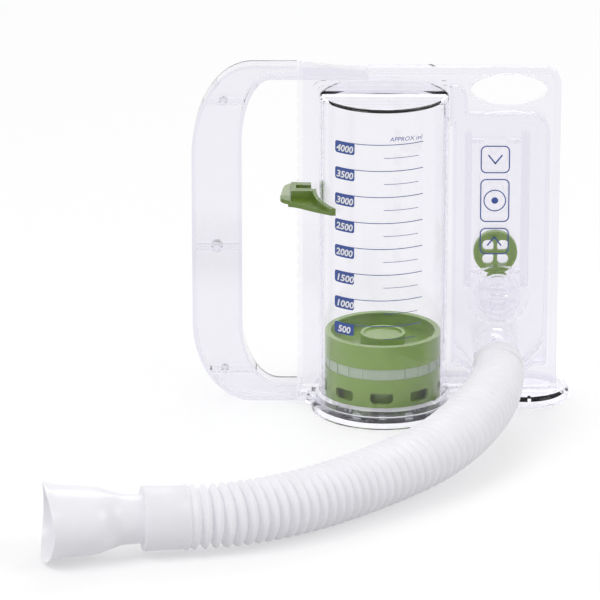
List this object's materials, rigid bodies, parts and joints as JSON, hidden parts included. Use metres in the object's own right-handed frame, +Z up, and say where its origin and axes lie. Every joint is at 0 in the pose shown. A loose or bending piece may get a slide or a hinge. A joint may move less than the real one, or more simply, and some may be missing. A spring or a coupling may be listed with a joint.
{
  "type": "incentive spirometer",
  "caption": "Clear breathing exerciser: piston chamber with volume scale, disc float, goal slider, C-shaped handle, corrugated hose and oval mouthpiece.",
  "frame": {"origin": "on the vertical axis of the volume chamber, in the plane that the base stands on", "axes": "+Z up along the chamber's axis; -Y is the front, with the scale, the valve and the hose port; +X is to the right seen from the front, the handle is on the -X side"},
  "size_m": [0.2539, 0.2815, 0.1739],
  "materials": {
    "clear_shell": "clear, polished",
    "clear_base": "clear, polished",
    "float_green": "smooth",
    "flap": "thin translucent film",
    "hose_white": "milky, translucent",
    "mouthpiece_white": "milky, smooth",
    "piston_green": "smooth",
    "piston_pale": "smooth, translucent",
    "slider_green": "smooth"
  },
  "bodies": {
    "housing": {"front_shell": "clear_shell", "rear_shell": "clear_shell", "handle_front": "clear_shell", "handle_back": "clear_shell", "base_plate": "clear_base", "chamber_floor": "clear_base", "flow_cover": "clear_shell", "float_guides": "clear_base", "valve_cage": "clear_base", "port_tube": "clear_base", "port_cuff": "hose_white", "hose": "hose_white", "mouth_cuff": "hose_white"},
    "piston": {"piston_cup": "piston_green", "piston_band": "piston_pale", "piston_skirt": "piston_green", "piston_hub": "piston_green"},
    "float": {"flow_float": "float_green"},
    "slider": {"goal_slider": "slider_green"},
    "flap": {"valve_flap": "flap"},
    "mouthpiece": {"mouthpiece": "mouthpiece_white"}
  },
  "joints": [
    {"name": "piston_lift", "type": "slide", "parent": "housing", "child": "piston", "axis": [0, 0, 1], "range_m": [0, 0.1195]},
    {"name": "float_rise", "type": "slide", "parent": "housing", "child": "float", "axis": [0, 0, 1], "range_m": [0, 0.0476]},
    {"name": "goal_slide", "type": "slide", "parent": "housing", "child": "slider", "axis": [0, 0, 1], "range_m": [-0.058, 0.035]},
    {"name": "valve_lift", "type": "slide", "parent": "housing", "child": "flap", "axis": [0, -1, 0], "range_m": [0, 0.0012], "stiffness_N_per_m": 2},
    {"name": "mouthpiece_pull", "type": "slide", "parent": "housing", "child": "mouthpiece", "axis": [-0.9842, -0.1743, 0.0297], "range_m": [0, 0.015]}
  ]
}
